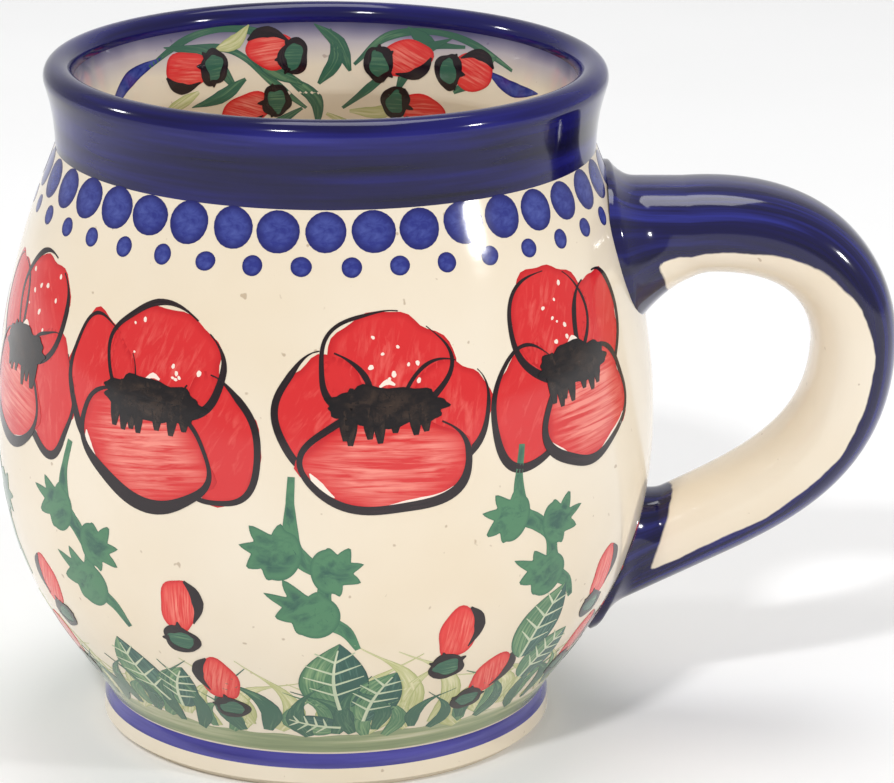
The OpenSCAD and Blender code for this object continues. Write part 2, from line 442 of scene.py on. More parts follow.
def cream_tone(finish):
    """Cream glaze with a slow warm drift and a few iron freckles."""
    drift = finish.ramp(finish.noise(finish.place, 26.0, 3.0), [(0.35, CREAM), (0.7, CREAM_WARM)])
    freckle = finish.shade(0.755, 0.80, finish.noise(finish.place, 700.0, 1.0))
    return finish.mix(finish.times(freckle, 0.5), drift, colour(150, 118, 84))


def mix_cream(name):
    finish = Finish(name, 0.1, coat=0.15)
    return finish.finish(cream_tone(finish), 0.05, roughness=(0.07, 0.15))


def cobalt_tone(finish, vector):
    """Cobalt in brushed bands: dark where it lies thick, violet where it thins."""
    bands = finish.noise(finish.stretched(vector, (16, 16, 300)), 1.0, 3.0, 0.6)
    return finish.ramp(bands, [(0.32, COBALT_DEEP), (0.48, COBALT), (0.58, colour(19, 17, 94)),
                               (0.7, COBALT_THIN)])


def mix_cobalt(name):
    finish = Finish(name, 0.1, coat=0.1)
    finish.shader.inputs["Specular IOR Level"].default_value = 0.35
    tone = cobalt_tone(finish, finish.place)
    return finish.finish(tone, 0.05, roughness=(0.06, 0.14))


def height_of(finish):
    split = finish.tree.nodes.new("ShaderNodeSeparateXYZ")
    finish.link(finish.place, split.inputs[0])
    return split.outputs["Z"]


def mix_liner(name):
    """Cream inside the pot, with the collar's cobalt running down a little below the lip."""
    finish = Finish(name, 0.1, coat=0.15)
    cream = cream_tone(finish)
    uneven = finish.noise(finish.stretched(finish.place, (34, 34, 12)), 1.0, 4.0)
    level = math_node(finish.tree, "ADD", height_of(finish), finish.times(uneven, 5 * MM))
    thin = finish.shade(93.6 * MM, 99.4 * MM, level)
    thick = finish.shade(97.2 * MM, 100.8 * MM, level)
    violet = finish.mix(finish.times(thin, 0.8), cream, colour(96, 98, 160))
    return finish.finish(finish.mix(thick, violet, COBALT), 0.05, roughness=(0.07, 0.15))


def mix_foot_band(name):
    finish = Finish(name, 0.12, coat=0.15)
    bands = finish.noise(finish.stretched(finish.place, (40, 40, 700)), 1.0, 3.0)
    tone = finish.ramp(bands, [(0.3, colour(44, 38, 120)), (0.7, colour(84, 80, 164))])
    return finish.finish(tone, 0.05, roughness=(0.08, 0.16))


def mix_clay(name):
    finish = Finish(name, 0.8)
    grain = finish.noise(finish.place, 420.0, 5.0, 0.7)
    sand = finish.noise(finish.place, 1500.0, 2.0)
    tone = finish.ramp(grain, [(0.3, colour(214, 200, 176)), (0.6, colour(226, 214, 192)),
                               (0.75, colour(188, 168, 138))])
    return finish.finish(tone, 0.5, 700.0, roughness=(0.7, 0.9), relief=sand)


cream_glaze = mix_cream("cream_glaze")
cobalt_glaze = mix_cobalt("cobalt_glaze")
liner_glaze = mix_liner("liner_glaze")
foot_band_glaze = mix_foot_band("violet_line_glaze")
clay = mix_clay("stoneware_clay")
print("ground glazes:", [m.name for m in bpy.data.materials][-5:])

# %% [markdown]
# ## Turn the glaze coats
# Each coat is a closed shell of glass 0.4 mm thick. It starts as a flat sheet, with the face on
# top and the back underneath, and the wheel bends it round the pot and welds the seam.

# %% Coats from flat sheets
ROUND = 240
pieces = []


def piece(name, points, faces, brush=None, rim=None):
    """A mesh object, with a brush map and a rim value for each point where they are given."""
    mesh = bpy.data.meshes.new(name)
    mesh.from_pydata(points, [], faces)
    if brush is not None:
        layer = mesh.uv_layers.new(name="brush")
        corners = np.empty(len(mesh.loops), np.int32)
        mesh.loops.foreach_get("vertex_index", corners)
        layer.data.foreach_set("uv", np.asarray(brush, np.float32)[corners].ravel())
    if rim is not None:
        values = mesh.attributes.new("rim", "FLOAT", "POINT").data
        values.foreach_set("value", np.asarray(rim, np.float32))
    obj = bpy.data.objects.new(name, mesh)
    scene.collection.objects.link(obj)
    return obj


def smooth(obj, sharp_degrees=40):
    obj.data.polygons.foreach_set("use_smooth", [True] * len(obj.data.polygons))
    obj.data.set_sharp_from_angle(angle=math.radians(sharp_degrees))
    return obj


def keep(obj, slot, *nodes):
    """Hangs a finished piece under the root, hides the CAD parts it stands in for, and adds it to the pieces."""
    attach(obj, "root")
    if nodes:
        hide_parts(*nodes)
    pieces.append(obj)
    return obj


def coat(name, first, last, material, slot, node, on_line=None, lengths=line_length):
    """A shell of glaze between two rows of the potter's line."""
    face = [(lengths[i], 0.0) for i in range(first, last + 1)]
    back_rows = sorted(set(range(first, last + 1, 3)) | {last})
    back = [(lengths[i], -glaze_t) for i in reversed(back_rows)]
    loop = face + back
    points = [(2 * math.pi * GIRTH_R * k / ROUND, y, z) for k in range(ROUND + 1) for y, z in loop]
    n = len(loop)
    faces = []
    for k in range(ROUND):
        for j in range(n):
            a, b = k * n + j, k * n + (j + 1) % n
            faces.append((a, a + n, b + n, b))
    obj = piece(name, points, faces)
    turn(obj, material, on_line, merge=0.002 * MM)
    smooth(obj)
    return keep(obj, slot, node)


COATS = [
    ("foot_coat", 0, line_end["foot"], cream_glaze, "cream_glaze", "foot_glaze"),
    ("foot_line", line_end["foot"], line_end["band"], foot_band_glaze, "cobalt_glaze", "foot_band_glaze"),
    ("belly_coat", line_end["band"], line_end["belly_high"], cream_glaze, "cream_glaze", "belly_glaze"),
    ("collar_coat", line_end["belly_high"], line_end["lip"], cobalt_glaze, "cobalt_glaze", "collar_glaze"),
    ("liner_coat", line_end["lip"], len(line) - 1, liner_glaze, "cream_glaze", "liner_glaze"),
]
for name, first, last, glaze, slot, node in COATS:
    coat(name, first, last, glaze, slot, node)
recess = [(0.0, recess_h - glaze_t), (top_of("base_glaze").x, recess_h - glaze_t)]
base_line = line_object("base_line", recess)
base_lengths = np.linspace(0, recess[1][0], 14)
last = len(base_lengths) - 1
coat("base_coat", 0, last, cream_glaze, "cream_glaze", "base_glaze", base_line, base_lengths)
for name in ("body", "handle"):
    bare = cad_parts[name]
    bare.data.materials.clear()
    bare.data.materials.append(clay)
for obj in pieces:
    corners = np.array([v.co for v in obj.data.vertices]) / MM
    print(obj.name, len(obj.data.polygons), "faces, mm", corners.min(0).round(2), corners.max(0).round(2))


# %% [markdown]
# ## The handle
# The handle is pulled from a wet lump: a rounded oval strap, a little thicker where it leaves the
# collar. A strap that follows a path is a sweep. The same oval section is set on two
# cubic arms that meet at the furthest point, and near the wall it spreads over it, as the clay
# does when a thumb smooths the joint. Each point also keeps how deep it lies in the cobalt, so
# that the glaze can be split by a line that wavers like a brush.

# %% Sweep the handle
handle_low, handle_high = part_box("handle_back_glaze")
UPPER_W = handle_high.y - handle_low.y
LOWER_W = 15.1 * MM
GRIP_T = 12.3 * MM
END_SWELL = 1.2 * MM
LOWER_TILT = math.radians(206)
lower_dir = np.array([math.cos(LOWER_TILT), 0, math.sin(LOWER_TILT)])
upper_start = np.array([52.4, 0, 75.2]) * MM
lower_end = np.array([54.1, 0, 29.2]) * MM
far_point = np.array([handle_high.x - GRIP_T / 2, 0, 57.4 * MM])
upper_arm = [upper_start, upper_start + np.array([20.9, 0, 1.9]) * MM,
             far_point + [0, 0, 6.7 * MM], far_point]
lower_arm = [far_point, far_point - [0, 0, 16.8 * MM],
             lower_end - 12.3 * MM * lower_dir, lower_end]


def handle_path():
    """Rows along the handle: middle point, direction, and share of the way from 0 to 2."""
    arms = np.vstack([bezier(upper_arm, 64), bezier(lower_arm, 64)[1:]])
    share = np.linspace(0, 2, len(arms))
    into_upper = np.arange(-12, -0.1, 0.45)[:, None] * MM * np.array([[1.0, 0, 0]])
    into_lower = np.arange(0.45, 20, 0.45)[:, None] * MM * lower_dir
    middles = np.vstack([upper_start + into_upper, arms, lower_end + into_lower])
    share = np.r_[np.zeros(len(into_upper)), share, np.full(len(into_lower), 2.0)]
    direction = np.gradient(middles, axis=0)
    direction /= np.linalg.norm(direction, axis=1)[:, None]
    return middles, direction, share


def spread(flare, gap):
    """How far the clay has spread at a distance from the wall."""
    near = np.clip(1 - gap / (1.6 * flare), 0, 1)
    return flare * near**2


def oval(v):
    return np.sign(v) * np.abs(v) ** 0.85


SECTION = 80
UPPER_FLARE = 4.6 * MM
UPPER_DROOP = 2.5 * MM
LOWER_FLARE = 2.1 * MM
# how far round from its back the handle is blue, in degrees, and how much further at its top end
BACK_REACH = 73
MORE_AT_TOP = 35
# the width of the blue ring round each joint, and how deep the handle's clay sinks into the wall
RING_WIDTH = 4.2 * MM
SINK = 1.2 * MM


def handle_points():
    middles, direction, share = handle_path()
    a = np.linspace(0, 2 * math.pi, SECTION, endpoint=False)[None, :]
    half_w = (UPPER_W + (LOWER_W - UPPER_W) * share[:, None] / 2) / 2
    half_t = (GRIP_T + END_SWELL * np.maximum(1 - share[:, None], 0)) / 2
    over = np.c_[-direction[:, 2], np.zeros(len(share)), direction[:, 0]]

    def section(grow):
        up = ((half_t + grow) * oval(np.cos(a)))[..., None] * over[:, None, :]
        side = ((half_w + grow) * oval(np.sin(a)))[..., None] * np.array([0, 1.0, 0])
        return middles[:, None, :] + up + side

    def gap(points):
        return np.hypot(points[..., 0], points[..., 1]) - wall_radius(points[..., 2])

    flare = np.where(share[:, None] < 1, UPPER_FLARE - UPPER_DROOP * np.cos(a), LOWER_FLARE)
    points = section(spread(flare, np.maximum(gap(section(0)), 0)))
    sunk = gap(points) < -SINK
    shore = wall_radius(points[..., 2]) - SINK
    x = np.sqrt(np.maximum(shore**2 - points[..., 1] ** 2, 0))
    points[..., 0] = np.where(sunk, x, points[..., 0])
    from_back = np.abs((np.degrees(a) + 180) % 360 - 180)
    reach = BACK_REACH + MORE_AT_TOP * np.maximum(1 - share[:, None], 0)
    back_depth = (reach - from_back) * 0.15 * MM
    blue = np.maximum(back_depth, RING_WIDTH - gap(points))
    travel = np.r_[0, np.cumsum(np.linalg.norm(np.diff(middles, axis=0), axis=1))]
    grain = np.stack(np.broadcast_arrays(travel[:, None], 0.01 * np.cos(a), 0.01 * np.sin(a)), -1)
    return points, blue, grain


def mix_handle(name):
    """Cobalt down the back and round both joints, cream where the fingers go."""
    finish = Finish(name, 0.1, coat=0.15)
    cream = cream_tone(finish)
    grain = add_node(finish.tree, "ShaderNodeAttribute", attribute_name="grain").outputs["Vector"]
    streak = finish.noise(finish.stretched(grain, (16, 330, 330)), 1.0, 4.0, 0.62)
    cobalt = finish.ramp(streak, [(0.28, COBALT_DEEP), (0.5, COBALT), (0.66, colour(36, 40, 126)),
                                  (0.82, COBALT_THIN)])
    depth = add_node(finish.tree, "ShaderNodeAttribute", attribute_name="blue").outputs["Fac"]
    waver = finish.noise(finish.place, 150.0, 3.0)
    edge = math_node(finish.tree, "ADD", depth, finish.times(waver, 1.6 * MM))
    mask = finish.shade(0.7 * MM, 1.0 * MM, edge)
    return finish.finish(finish.mix(mask, cream, cobalt), 0.05, roughness=(0.07, 0.15))


def build_handle():
    points, blue, grain = handle_points()
    rows = len(points)
    faces = [tuple(range(SECTION))[::-1], tuple((rows - 1) * SECTION + j for j in range(SECTION))]
    for i in range(rows - 1):
        for j in range(SECTION):
            k = (j + 1) % SECTION
            here, ahead = i * SECTION, (i + 1) * SECTION
            faces.append((here + j, here + k, ahead + k, ahead + j))
    obj = piece("handle_coat", points.reshape(-1, 3).tolist(), faces)
    mesh = obj.data
    mesh.attributes.new("blue", "FLOAT", "POINT").data.foreach_set(
        "value", blue.ravel().astype(np.float32))
    mesh.attributes.new("grain", "FLOAT_VECTOR", "POINT").data.foreach_set(
        "vector", grain.reshape(-1, 3).ravel().astype(np.float32))
    mesh.materials.append(mix_handle("handle_glaze"))
    return smooth(obj, 60)


handle = build_handle()
volume = sum(f.area * f.normal.dot(f.center) for f in handle.data.polygons) / 3
if volume < 0:
    handle.data.flip_normals()
keep(handle, "cobalt_glaze", "handle_back_glaze", "handle_grip_glaze", "upper_joint", "lower_joint")
print("handle faces:", len(handle.data.polygons), "volume cm3:", round(abs(volume) * 1e6, 2))

# %% [markdown]
# ## Brush marks
# Paint is built from two kinds of mark, as a painter makes it. A stroke is a ribbon that follows
# a path and swells and tapers; a blot is a rounded patch, pressed down and lifted. Both are thin
# closed films, drawn flat in millimetres round a spot on the pot, then wrapped on with the
# wheel. Films lie in layers a few hundredths of a millimetre apart, so that later
# marks cover earlier ones exactly as they were painted.

# %% Strokes and blots
UNDER = -0.05 * MM
LAYER = 0.02 * MM
# one unit of the brush map in millimetres, and how far apart two marks lie on it
BRUSH_UNIT = 10
BRUSH_STEP = 3.7
# a patch is a fan of rings, close enough together to follow the curve of the pot
PATCH_RINGS = (0.14, 0.28, 0.42, 0.56, 0.7, 0.82, 0.92, 1.0)


class Spot:
    """A place on the pot to draw round. Drawings there are in millimetres, x to the right."""

    def __init__(self, theta, height, inside=False):
        self.way = -1 if inside else 1
        self.inside = inside
        self.theta = math.radians(theta)
        self.row = along(height * MM, inside)
        self.radius = radius_along(self.row)

    def flat(self, points):
        p = np.asarray(points, float) * MM * self.way
        girth = self.theta * GIRTH_R
        return np.c_[girth + p[:, 0] * GIRTH_R / self.radius, self.row + p[:, 1]]

    def near(self, theta, height):
        """Another place on the pot, in this spot's millimetres."""
        turned = (math.radians(theta) - self.theta + math.pi) % (2 * math.pi) - math.pi
        up = along(height * MM, self.inside) - self.row
        return np.array([turned * self.radius, up]) / MM * self.way


def smoothed(path, step=1.0, closed=False):
    """A smooth curve through a few points, in steps of about one millimetre."""
    p = np.asarray(path, float)
    if len(p) < 3:
        p = np.array([p[0], (p[0] + p[-1]) / 2, p[-1]])
    q = np.vstack([p[-1], p, p[:2]]) if closed else np.vstack([2 * p[0] - p[1], p, 2 * p[-1] - p[-2]])
    out = []
    for a, b, c, d in zip(q[:-3], q[1:-2], q[2:-1], q[3:]):
        n = max(2, int(math.ceil(np.linalg.norm(c - b) / step)))
        t = (np.arange(n) / n)[:, None]
        bend, twist = 2 * a - 5 * b + 4 * c - d, 3 * b - a - 3 * c + d
        out.append(0.5 * (2 * b + (c - a) * t + bend * t**2 + twist * t**3))
    if not closed:
        out.append(p[-1:])
    return np.vstack(out)


class Paint:
    """One colour of paint: the films laid with it, gathered into one piece."""

    def __init__(self, name, material):
        self.name, self.material = name, material
        self.points, self.faces, self.brush, self.rim = [], [], [], []
        self.marks = 0

    def add(self, flat, lift, brush, rim, faces):
        first = len(self.points)
        shift = BRUSH_STEP * self.marks
        self.points.extend(zip(flat[:, 0], flat[:, 1], lift))
        self.brush.extend((u + shift, v + shift) for u, v in brush)
        self.rim.extend(rim)
        self.faces.extend(tuple(first + i for i in face) for face in faces)
        self.marks += 1

    def stroke(self, spot, path, widths, layer, step=1.0, across=2, closed=False):
        """A ribbon of paint. Widths in millimetres are spread evenly along it."""
        line_points = smoothed(path, step, closed)
        n = len(line_points)
        if closed:
            forward = np.roll(line_points, -1, 0) - np.roll(line_points, 1, 0)
        else:
            forward = np.gradient(line_points, axis=0)
        forward /= np.maximum(np.linalg.norm(forward, axis=1), 1e-9)[:, None]
        left = np.c_[-forward[:, 1], forward[:, 0]]
        if closed:
            widths = list(widths) + [widths[0]]
        spread_at = np.linspace(0, 1, n, endpoint=not closed)
        half = np.interp(spread_at, np.linspace(0, 1, len(widths)), widths) / 2
        side = np.r_[np.linspace(1, -1, across + 1), -1, 1]
        across_it = half[:, None] * side[None, :]
        rows = line_points[:, None, :] + left[:, None, :] * across_it[..., None]
        loop = len(side)
        lifts = np.tile(np.r_[np.full(across + 1, layer * LAYER), UNDER, UNDER], n)
        travel = np.r_[0, np.cumsum(np.linalg.norm(np.diff(line_points, axis=0), axis=1))]
        brush = np.stack(np.broadcast_arrays(travel[:, None] / BRUSH_UNIT, across_it / BRUSH_UNIT), -1)
        faces = []
        for i in range(n if closed else n - 1):
            k = (i + 1) % n
            for j in range(loop):
                m = (j + 1) % loop
                faces.append((i * loop + j, i * loop + m, k * loop + m, k * loop + j))
        if not closed:
            faces.append(tuple(range(loop))[::-1])
            faces.append(tuple((n - 1) * loop + j for j in range(loop)))
        rim = np.tile(np.abs(side), n)
        self.add(spot.flat(rows.reshape(-1, 2)), lifts, brush.reshape(-1, 2), rim, faces)

    def blot(self, spot, outline, layer, brush_turn=0.0, rings=PATCH_RINGS):
        """A patch of paint inside an outline that runs anticlockwise."""
        outline = np.asarray(outline, float)
        middle = outline.mean(0)
        n = len(outline)
        inner = [middle + (outline - middle) * share for share in rings]
        flat_points = np.vstack([middle[None], *inner, outline, middle[None]])
        lifts = np.r_[np.full(1 + n * len(rings), layer * LAYER), np.full(n + 1, UNDER)]
        rim = np.r_[0, np.repeat(rings, n), np.ones(n), 0]
        c, s = math.cos(brush_turn), math.sin(brush_turn)
        brush = (flat_points - middle) @ np.array([[c, -s], [s, c]]) / BRUSH_UNIT
        faces = []
        for j in range(n):
            k = (j + 1) % n
            faces.append((0, 1 + j, 1 + k))
            for r in range(len(rings)):
                a, b = 1 + r * n, 1 + (r + 1) * n
                faces.append((a + j, b + j, b + k, a + k))
            last = 1 + len(rings) * n
            faces.append((last + n, last + k, last + j))
        self.add(spot.flat(flat_points), lifts, brush, rim, faces)

    def lay_on(self, slot="cream_glaze"):
        obj = piece(self.name, self.points, self.faces, self.brush, self.rim)
        turn(obj, self.material)
        smooth(obj, 50)
        print(self.name, self.marks, "marks,", len(obj.data.polygons), "faces")
        return keep(obj, slot)


def rounded(centre, half_width, half_height, tilt, chance, rough=0.05, count=44, bumps=(2, 3, 5)):
    """A hand-drawn oval: its outline wanders in a few slow waves."""
    a = np.linspace(0, 2 * math.pi, count, endpoint=False)
    size = np.ones(count)
    for k in bumps:
        size += rough * chance.uniform(0.4, 1.0) * np.sin(k * a + chance.uniform(0, 6.28))
    x, y = half_width * np.cos(a) * size, half_height * np.sin(a) * size
    c, s = math.cos(math.radians(tilt)), math.sin(math.radians(tilt))
    return np.c_[centre[0] + x * c - y * s, centre[1] + x * s + y * c]


print("marks ready")

# %% [markdown]
# ## The paints
# Red is laid with a dry brush and shows pale bristle lines along each mark and a full edge. Black
# is dense and nearly even. Greens go from thin olive to dark teal. All of them lie under
# clear glaze, so they stay glossy.

# %% Mix the paints
def mix_paint(name, thin, body, full, bristles=(1.6, 26.0), pale=(0.44, 0.62), pool=(0.86, 1.0)):
    """Brushed paint: thin in the bristle lines, full at the rim of a mark.

    Bristles gives the scale of the lines along a mark and across it."""
    finish = Finish(name, 0.12, coat=0.1)
    lines = finish.noise(finish.stretched(finish.brush(), (*bristles, 1)), 1.0, 4.0, 0.6, 0.6)
    cloud = finish.noise(finish.place, 95.0, 2.0)
    amount = math_node(finish.tree, "ADD", finish.times(lines, 0.7), finish.times(cloud, 0.3))
    inner = finish.shade(0.95, 0.55, finish.rim())
    bare = finish.times(finish.shade(pale[0], pale[1], amount), inner)
    wet = finish.mix(finish.shade(pool[0], pool[1], finish.rim()), body, full)
    return finish.finish(finish.mix(bare, wet, thin), 0.05, roughness=(0.08, 0.16))


RED = mix_paint("poppy_red", colour(234, 108, 98), colour(212, 40, 42), colour(192, 20, 28),
                bristles=(2.4, 9.0), pale=(0.5, 0.78))
STREAKED_RED = mix_paint("poppy_streaked_red", colour(240, 140, 126), colour(212, 42, 42),
                         colour(192, 18, 28), bristles=(0.9, 15.0), pale=(0.43, 0.6))
BUD_RED = mix_paint("bud_red", colour(246, 142, 124), colour(222, 52, 48), colour(202, 30, 36),
                    pale=(0.44, 0.66))
BLACK = mix_paint("line_black", colour(62, 40, 44), colour(28, 14, 20), colour(16, 8, 14),
                  pale=(0.52, 0.78))
HEART = mix_paint("heart_black", colour(66, 50, 40), colour(20, 12, 14), colour(10, 6, 10),
                  bristles=(4.0, 6.0), pale=(0.46, 0.7))
BARE = mix_paint("bare_cream", colour(244, 232, 214), colour(244, 226, 212), colour(244, 210, 198))
DARK_GREEN = mix_paint("grass_dark_green", colour(112, 150, 110), colour(54, 98, 78),
                       colour(38, 78, 72), pale=(0.5, 0.72))
LEAF_GREEN = mix_paint("leaf_green", colour(44, 90, 76), colour(76, 128, 92), colour(58, 108, 82),
                       bristles=(3.0, 5.0), pale=(0.44, 0.6))
MID_GREEN = mix_paint("leaf_mid_green", colour(150, 180, 130), colour(78, 122, 88),
                      colour(56, 98, 78), pale=(0.46, 0.68))
OLIVE = mix_paint("grass_olive", colour(222, 216, 176), colour(182, 184, 124), colour(158, 166, 106),
                  pale=(0.4, 0.6))
VEIN = mix_paint("scratched_vein", colour(214, 216, 188), colour(190, 202, 170), colour(166, 186, 152))
DOT_BLUE = mix_paint("dot_blue", colour(72, 84, 158), colour(38, 46, 128), colour(24, 26, 98),
                     bristles=(6.0, 9.0), pale=(0.42, 0.66), pool=(0.6, 1.0))
PAINTS = (RED, STREAKED_RED, BUD_RED, BLACK, HEART, BARE, DARK_GREEN, LEAF_GREEN, MID_GREEN, OLIVE,
          VEIN, DOT_BLUE)
print("paints:", [paint.name for paint in PAINTS])

# %% [markdown]
# ## The dotted border
# A border that goes right round is a rule, so Geometry Nodes stamp it: one dot, a count, and a
# seeded chance for size, turn and height, because a dabbing hand is never quite even. The
# wheel then wraps the row.

# %% Build the stamp row
def build_stamp_row():
    tree, given, out = new_tree("stamp_row", [
        ("Geometry", "NodeSocketGeometry"), ("Count", "NodeSocketInt"), ("Start", "NodeSocketVector"),
        ("Step", "NodeSocketVector"), ("Drift", "NodeSocketVector"), ("Turn", "NodeSocketVector"),
        ("Least size", "NodeSocketVector"), ("Most size", "NodeSocketVector"),
        ("Seed", "NodeSocketInt"), ("Material", "NodeSocketMaterial")])
    link = tree.links.new

    def chance(low, high, extra):
        made = add_node(tree, "FunctionNodeRandomValue", data_type="FLOAT_VECTOR")
        for socket, value in zip(made.inputs[:2], (low, high)):
            link(value, socket)
        link(math_node(tree, "ADD", given.outputs["Seed"], extra), made.inputs["Seed"])
        return made.outputs[0]

    def reversed_vector(value):
        made = add_node(tree, "ShaderNodeVectorMath", operation="SCALE")
        link(value, made.inputs[0])
        made.inputs["Scale"].default_value = -1.0
        return made.outputs[0]

    row = add_node(tree, "GeometryNodeMeshLine", mode="OFFSET")
    link(given.outputs["Count"], row.inputs["Count"])
    link(given.outputs["Start"], row.inputs["Start Location"])
    link(given.outputs["Step"], row.inputs["Offset"])
    stray = tree.nodes.new("GeometryNodeSetPosition")
    link(row.outputs[0], stray.inputs["Geometry"])
    drift = given.outputs["Drift"]
    link(chance(reversed_vector(drift), drift, 1), stray.inputs["Offset"])
    stamp = tree.nodes.new("GeometryNodeInstanceOnPoints")
    link(stray.outputs[0], stamp.inputs["Points"])
    link(given.outputs["Geometry"], stamp.inputs["Instance"])
    turn_by = given.outputs["Turn"]
    link(chance(reversed_vector(turn_by), turn_by, 2), stamp.inputs["Rotation"])
    link(chance(given.outputs["Least size"], given.outputs["Most size"], 3), stamp.inputs["Scale"])
    real = tree.nodes.new("GeometryNodeRealizeInstances")
    link(stamp.outputs[0], real.inputs[0])
    dress = tree.nodes.new("GeometryNodeSetMaterial")
    link(real.outputs[0], dress.inputs["Geometry"])
    link(given.outputs["Material"], dress.inputs["Material"])
    link(dress.outputs[0], out.inputs[0])
    return tree


stamp_row = build_stamp_row()


def stamp_round(paint, count, height, seed, drift, turn_degrees, least, most, offset=0.0):
    """Repeats the marks of one paint round the pot at a height, in millimetres."""
    obj = piece(paint.name, paint.points, paint.faces, paint.brush, paint.rim)
    modifier = obj.modifiers.new("stamp", "NODES")
    modifier.node_group = stamp_row
    row = along(height * MM)
    step = 2 * math.pi * GIRTH_R / count
    set_inputs(modifier, {"Count": count, "Start": (step * offset, row, 0.0), "Step": (step, 0.0, 0.0),
                          "Drift": (drift[0] * MM, drift[1] * MM, 0.0),
                          "Turn": (0.0, 0.0, math.radians(turn_degrees)),
                          "Least size": least, "Most size": most, "Seed": seed,
                          "Material": paint.material})
    turn(obj, paint.material)
    smooth(obj, 50)
    print(paint.name, "stamped", count, "times,", len(obj.data.polygons), "faces")
    return keep(obj, "cream_glaze")


def girth_spot(height):
    """A spot at no place in particular, for marks that will be stamped at a height."""
    spot = Spot(0, height)
    spot.row = 0.0
    return spot


DOT_COUNT = 39


def stamp_dots(name, diameter, height, offset, seed):
    dab = Paint(name, DOT_BLUE)
    chance = np.random.default_rng(seed)
    outline = rounded((0, 0), diameter / 2, diameter / 2, 0, chance, 0.012, 22)
    dab.blot(girth_spot(height), outline, 1.5, rings=(0.5, 0.85, 1.0))
    return stamp_round(dab, DOT_COUNT, height, seed, (0.16, 0.14), 9,
                       (0.95, 0.94, 1.0), (1.06, 1.05, 1.0), offset)


stamp_dots("border_dots_large", 5.9, 84.9, 0.25, 11)
stamp_dots("border_dots_small", 2.8, 80.3, 0.75, 12)

# %% [markdown]
# ## Grass and wash at the foot
# The painter runs a level stroke of thin olive above the foot while the pot turns, then flicks
# blades of grass up out of it, soft ones first and dark ones over them.

# %% Lay the wash and the grass
def lay_wash():
    finish = Finish("foot_wash", 0.12, coat=0.1)
    bands = finish.noise(finish.stretched(finish.place, (26, 26, 620)), 1.0, 4.0, 0.6)
    tone = finish.ramp(bands, [(0.36, colour(122, 136, 98)), (0.52, colour(146, 158, 118)),
                               (0.64, colour(186, 186, 150)), (0.76, colour(226, 218, 192))])
    wash = Paint("foot_wash", finish.finish(tone, 0.05, roughness=(0.08, 0.16)))
    steps = 240
    low, high = along(5.8 * MM), along(9.4 * MM)
    angle = 2 * math.pi * np.arange(steps + 1) / steps
    ragged = 0.35 * np.sin(5 * angle + 1) + 0.25 * np.sin(13 * angle) + 0.2 * np.sin(29 * angle + 2)
    rows, lifts = [], []
    for a, extra in zip(angle, ragged):
        top = high + extra * MM
        for share in (1, 0.66, 0.33, 0, 0, 1):
            rows.append((a * GIRTH_R, low + (top - low) * share))
        lifts += [LAYER] * 4 + [UNDER] * 2
    n = 6
    faces = [(i * n + (j + 1) % n, i * n + j, (i + 1) * n + j, (i + 1) * n + (j + 1) % n)[::-1]
             for i in range(steps) for j in range(n)]
    flat_points = np.array(rows)
    wash.add(flat_points, lifts, flat_points * 100, np.zeros(len(rows)), faces)
    obj = piece(wash.name, wash.points, wash.faces, wash.brush, wash.rim)
    turn(obj, wash.material, merge=0.002 * MM)
    smooth(obj, 50)
    return keep(obj, "cream_glaze")


# the height, in millimetres, where a blade drawn flat keeps its true width
GRASS_MIDDLE = 14


def stamp_grass(name, material, count, height, length, width, bend, seed, layer):
    """A tuft of blades, stamped round the foot. Each blade is broad below and ends in a hair."""
    blades = Paint(name, material)
    chance = np.random.default_rng(seed)
    for side in (-1, 1):
        lean = side * bend * chance.uniform(0.7, 1.2)
        tall = length * chance.uniform(0.85, 1.1)
        foot = -side * bend * 0.25
        path = [(foot, 0), (foot - lean * 0.22, tall * 0.34), (foot + lean * 0.02, tall * 0.7),
                (foot + lean * 0.7, tall)]
        widths = [width * 0.45, width, width * 0.9, width * 0.5, 0.3, 0.1]
        blades.stroke(girth_spot(GRASS_MIDDLE), path, widths, layer, 1.5)
    return stamp_round(blades, count, height, seed, (2.8, 1.1), 15,
                       (0.75, 0.55, 1.0), (1.2, 1.15, 1.0))


lay_wash()
stamp_grass("grass_soft", OLIVE, 38, 9.9, 17.0, 3.3, 8.0, 21, 2)
stamp_grass("grass_mid", MID_GREEN, 19, 9.5, 12.0, 3.0, 6.5, 23, 2.5)
stamp_grass("grass_dark", DARK_GREEN, 27, 9.5, 15.0, 3.0, 7.5, 22, 3)

# %% [markdown]
# ## Poppies
# Each poppy is four fat red petals round a ragged black heart. The fills are dabbed first and the
# dark outlines are drawn over them, never quite in register, thicker where the brush
# slows. The lower petal lies in front, so its film goes on a later layer. Three flowers are
# drawn, and the eight places round the pot take them in turn.

# %% Gather the paints of the flowers
petals = Paint("poppy_back_petals", RED)
front_petals = Paint("poppy_front_petals", STREAKED_RED)
outlines = Paint("poppy_outlines", BLACK)
hearts = Paint("poppy_hearts", HEART)
bare_spots = Paint("poppy_bare_spots", BARE)
stems = Paint("stems_and_leaves", LEAF_GREEN)


THIN_LINE = 0.95


def draw_outline(spot, outline, chance, layer, thick, slip, gap_turn):
    """A dark line round a petal. It starts and ends thin, and swells as the brush slows."""
    n = len(outline)
    start_at = int(gap_turn / 360 * n)
    around = np.roll(outline, -start_at, 0)
    around = around[: n - chance.integers(0, 4)] + slip
    level = around[:, 1] - around[:, 1].mean()
    weight = np.clip(-level / max(np.ptp(level), 1e-6) * 1.5 - 0.1, 0, 1)
    wave = 0.82 + 0.25 * np.sin(np.linspace(0, 8, len(around)) + chance.uniform(0, 6))
    widths = (THIN_LINE + (thick - THIN_LINE) * weight) * wave
    ends = np.clip(np.minimum(np.arange(len(widths)), np.arange(len(widths))[::-1]) / 5, 0.25, 1)
    outlines.stroke(spot, around, widths * ends, layer)


